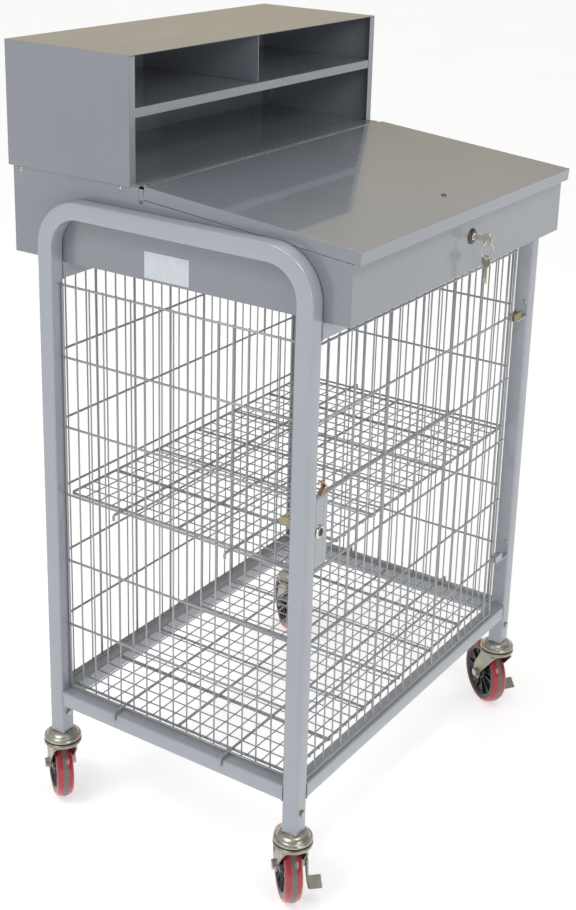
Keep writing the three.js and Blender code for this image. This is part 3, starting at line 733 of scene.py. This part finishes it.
def fork_shape(lead, wheel_radius, crown_low, crown_high):
    shape = Shape()
    crown = [(1e-5, crown_high), (25 * MM, crown_high), (31.4 * MM, crown_high - 0.6 * MM),
             (33 * MM, crown_high - 2.4 * MM), (32.8 * MM, crown_low + 2.4 * MM),
             (31 * MM, crown_low + 0.4 * MM),
             (26 * MM, crown_low - 1.2 * MM), (1e-5, crown_low - 1.2 * MM)]
    shape.lathe(crown, 56, closed=False)
    boss = 13 * MM
    for s in (1, -1):
        y_leg = LEG_INSIDE + LEG_SHEET / 2
        bend = 7 * MM
        top = crown_low + 1.5 * MM
        stations = []
        for k in range(7):
            a = math.pi / 2 * k / 6
            y = y_leg - bend + bend * math.sin(a)
            z = top - bend + bend * math.cos(a)
            half = 28 * MM - 3 * MM * k / 6
            stations.append((y, z, math.sin(a), math.cos(a), -half, half))
        for k in range(1, 9):
            t = k / 8
            z = (top - bend) + (wheel_radius + 6 * MM - (top - bend)) * t
            ease = t * t * (3 - 2 * t)
            left = -25 * MM + (lead - boss + 25 * MM) * t
            right = 25 * MM + (lead + boss - 25 * MM) * ease
            stations.append((y_leg, z, 1.0, 0.0, left, right))
        for k in range(1, 9):
            a = math.pi / 2 * k / 8
            z = wheel_radius + 6 * MM - (6 * MM + boss * 0.999) * math.sin(a)
            half = boss * max(0.05, math.cos(a)) ** 0.75
            stations.append((y_leg, z, 1.0, 0.0, lead - half, lead + half))
        loops = []
        for y, z, ny, nz, x0, x1 in stations:
            t = LEG_SHEET / 2
            loops.append([(x0, s * (y - ny * t), z - nz * t), (x1, s * (y - ny * t), z - nz * t),
                          (x1, s * (y + ny * t), z + nz * t), (x0, s * (y + ny * t), z + nz * t)])
        shape.rings(loops)
    return shape


def axle_shape(lead, wheel_radius):
    shape = Shape()
    outer = LEG_INSIDE + LEG_SHEET
    shaft = at(lead, -outer, wheel_radius) @ ALONG_Y
    shape.lathe([(1e-5, 0), (5 * MM, 0), (5 * MM, 2 * outer), (1e-5, 2 * outer)], 24, shaft, closed=False)
    for s in (1, -1):
        place = at(lead, s * outer, wheel_radius) @ Matrix.Rotation(-s * math.pi / 2, 4, "X")
        hex_head(shape, place, 15 * MM, 6.4 * MM)
    return shape


def hub_shape():
    shape = Shape()
    w = WHEEL_HALF - 1 * MM
    profile = [(5.4 * MM, w + 0.6 * MM), (12 * MM, w + 0.6 * MM), (13.6 * MM, w - 0.6 * MM),
               (15.5 * MM, w - 6 * MM), (20 * MM, w - 7.5 * MM), (40 * MM, w - 7.5 * MM),
               (44 * MM, w - 6.5 * MM), (47 * MM, w - 1.5 * MM),
               (49 * MM, w - 0.2 * MM), (53.6 * MM, w), (54.9 * MM, w - 0.8 * MM)]
    profile += [(r, -y) for r, y in reversed(profile)]
    shape.lathe(profile, 64, ALONG_Y)
    for k in range(10):
        turn = Matrix.Rotation(2 * math.pi * k / 10, 4, "Y")
        for s in (1, -1):
            y0, y1 = sorted((s * (w - 8 * MM), s * (w - 2.6 * MM)))
            loops = [[turn @ Vector((x, y, face * z)) for x, y, z in (
                (15 * MM, y0, 1.5 * MM), (46 * MM, y0, 1.5 * MM),
                (46 * MM, y1, 1.1 * MM), (15 * MM, y1, 1.1 * MM))] for face in (-1, 1)]
            shape.rings(loops)
    return shape


def tread_shape(wheel_radius):
    shape = Shape()
    inner = 55 * MM
    w = WHEEL_HALF
    half = [(inner, w - 1.4 * MM), (56.4 * MM, w - 0.9 * MM)]
    for k in range(1, 9):
        a = math.pi / 2 * k / 8
        half.append((56.6 * MM + (wheel_radius - 56.8 * MM) * math.sin(a),
                     3 * MM + (w - 4.2 * MM) * math.cos(a)))
    half.append((wheel_radius, 2 * MM))
    profile = half + [(r, -y) for r, y in reversed(half)]
    shape.lathe(profile, 96, ALONG_Y)
    return shape


def cap_shape(low_z, leg_bottom, top):
    shape = Shape()
    profile = [(1e-5, low_z), (27 * MM, low_z), (27.6 * MM, low_z + 0.9 * MM), (31.2 * MM, low_z + 1.6 * MM),
               (32.6 * MM, low_z + 3.4 * MM), (32.3 * MM, low_z + 5.6 * MM), (30.8 * MM, low_z + 7.4 * MM),
               (28.6 * MM, low_z + 8 * MM), (27.4 * MM, low_z + 9.2 * MM), (26.2 * MM, low_z + 11.6 * MM),
               (22.5 * MM, leg_bottom - 2.6 * MM), (18 * MM, leg_bottom - 0.9 * MM),
               (12 * MM, leg_bottom - 0.3 * MM), (9.5 * MM, leg_bottom), (9.5 * MM, top), (1e-5, top)]
    shape.lathe(profile, 64, closed=False)
    return shape


frame_low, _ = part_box("left_end_frame")
for corner in CORNERS:
    prefix = f"caster_{corner}_"
    cap_low, cap_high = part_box(prefix + "cap")
    axle_low, axle_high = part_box(prefix + "axle")
    _, fork_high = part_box(prefix + "fork")
    swivel = (cap_low + cap_high) / 2
    axle = (axle_low + axle_high) / 2
    reach = axle.xy - swivel.xy
    heading = math.atan2(reach.y, reach.x)
    lead = reach.length
    stand = at(swivel.x, swivel.y, 0) @ Matrix.Rotation(heading, 4, "Z")
    wheel = at(axle.x, axle.y, axle.z) @ Matrix.Rotation(heading, 4, "Z")
    piece(prefix + "race_cap", cap_shape(cap_low.z, frame_low.z, cap_high.z), ZINC,
          body_of[prefix + "cap"], [prefix + "cap"], stand)
    fork = fork_shape(lead, axle.z, fork_high.z - 8.7 * MM, fork_high.z)
    piece(prefix + "stamped_fork", fork, FORK_ZINC, body_of[prefix + "fork"], [prefix + "fork"],
          stand, edge=0.7 * MM)
    piece(prefix + "axle_bolt", axle_shape(lead, axle.z), ZINC, body_of[prefix + "axle"],
          [prefix + "axle"], stand, edge=0.3 * MM)
    piece(prefix + "ribbed_hub", hub_shape(), HUB_BLACK, body_of[prefix + "hub"],
          [prefix + "hub"], wheel)
    piece(prefix + "moulded_tread", tread_shape(axle.z), RED_TREAD, body_of[prefix + "tread"],
          [prefix + "tread"], axes=wheel)
for corner in ("front_left", "front_right"):
    dress(f"caster_{corner}_brake_pedal", PAD_STEEL, 0.8 * MM)


# ---- floor, light and camera --------------------------------------------------------
def floor_material():
    s = Shader("pale_floor")
    s.color(s.mix(s.noise(1.3, 3, 0.5), (0.84, 0.84, 0.835), (0.88, 0.88, 0.875)))
    s.roughness(s.ramp(s.noise(4, 3, 0.5), (0.3, 0.55), (0.7, 0.7)))
    s.surface.inputs["Emission Color"].default_value = (1, 1, 1, 1)
    s.surface.inputs["Emission Strength"].default_value = 0.5
    return s.material


FLOOR_HALF = 30
FLOOR_DEPTH = 0.05
ground = Shape()
ground.block((-FLOOR_HALF, -FLOOR_HALF, -FLOOR_DEPTH), (FLOOR_HALF, FLOOR_HALF, 0.0))
mesh = bpy.data.meshes.new("floor")
mesh.from_pydata([tuple(v) for v in ground.verts], [], ground.faces)
mesh.materials.append(floor_material())
floor = bpy.data.objects.new("floor", mesh)
bpy.context.scene.collection.objects.link(floor)


class Sky:
    """The studio's surroundings: a colour for each direction, mixed from a few broad soft zones."""

    def __init__(self, floor_color, top_color):
        world = bpy.data.worlds.new("studio")
        bpy.context.scene.world = world
        world.use_nodes = True
        self.tree = world.node_tree
        self.direction = self.tree.nodes.new("ShaderNodeTexCoord").outputs["Generated"]
        self.background = self.tree.nodes["Background"]
        self.color = self.zone((0, 0, 1), -0.1, 0.9, floor_color, top_color)

    def zone(self, towards, low, high, first, second):
        dot = self.tree.nodes.new("ShaderNodeVectorMath")
        dot.operation = "DOT_PRODUCT"
        self.tree.links.new(self.direction, dot.inputs[0])
        dot.inputs[1].default_value = Vector(towards).normalized()
        span = self.tree.nodes.new("ShaderNodeMapRange")
        span.interpolation_type = "SMOOTHSTEP"
        span.inputs["From Min"].default_value = low
        span.inputs["From Max"].default_value = high
        self.tree.links.new(dot.outputs["Value"], span.inputs["Value"])
        mix = self.tree.nodes.new("ShaderNodeMix")
        mix.data_type = "RGBA"
        self.tree.links.new(span.outputs["Result"], mix.inputs[0])
        for value, socket in ((first, mix.inputs[6]), (second, mix.inputs[7])):
            if isinstance(value, bpy.types.NodeSocket):
                self.tree.links.new(value, socket)
            else:
                socket.default_value = (*value, 1)
        return mix.outputs[2]

    def add(self, towards, low, high, color):
        self.color = self.zone(towards, low, high, self.color, color)

    def finish(self, strength):
        self.tree.links.new(self.color, self.background.inputs["Color"])
        self.background.inputs["Strength"].default_value = strength


sky = Sky((0.45, 0.45, 0.46), (0.62, 0.62, 0.61))
sky.add((0, -1, 0.15), 0.2, 0.9, (0.24, 0.25, 0.25))
sky.add((-1, 0.25, 0.25), 0.3, 0.95, (0.6, 0.63, 0.69))
sky.add((0.8, 0.6, 0.16), 0.7, 0.97, (0.52, 0.46, 0.345))
sky.finish(1.0)


def softbox(name, position, target, size, power, color):
    light = bpy.data.lights.new(name, "AREA")
    light.shape = "RECTANGLE"
    light.size, light.size_y = size
    light.energy = power
    light.color = color
    o = bpy.data.objects.new(name, light)
    bpy.context.scene.collection.objects.link(o)
    o.location = position
    o.rotation_euler = (Vector(target) - Vector(position)).to_track_quat("-Z", "Y").to_euler()


softbox("key_light", (-2.6, 0.6, 3.6), (0, 0, 0.7), (1.6, 1.2), 44, (1.0, 0.99, 0.97))
softbox("front_fill", (-1.2, -3.1, 1.5), (0, 0, 1.2), (1.3, 1.0), 17, (0.97, 0.99, 1.0))
softbox("riser_fill", (-0.25, -0.75, 1.85), (0, 0.25, 1.27), (0.7, 0.35), 5, (0.97, 0.99, 1.0))

camera_data = bpy.data.cameras.new("camera")
camera_data.lens = 59.15
camera_data.sensor_width = 36
camera_data.shift_x = -0.041
camera_data.shift_y = -0.140
camera_data.clip_start = 0.05
camera = bpy.data.objects.new("camera", camera_data)
bpy.context.scene.collection.objects.link(camera)
CAMERA_PLACE = (-2.0864, -1.3397, 1.6907)
PAN, TILT, ROLL = (math.radians(a) for a in (57.9, 18.6, 2.0))
forward = Vector((math.sin(PAN) * math.cos(TILT), math.cos(PAN) * math.cos(TILT), -math.sin(TILT)))
level = Vector((math.cos(PAN), -math.sin(PAN), 0))
upright = level.cross(forward)
right = math.cos(ROLL) * level + math.sin(ROLL) * upright
up = -math.sin(ROLL) * level + math.cos(ROLL) * upright
axes = Matrix((right, up, -forward)).transposed().to_4x4()
camera.matrix_world = at(*CAMERA_PLACE) @ axes
bpy.context.scene.camera = camera
bpy.context.scene.view_settings.view_transform = "Standard"
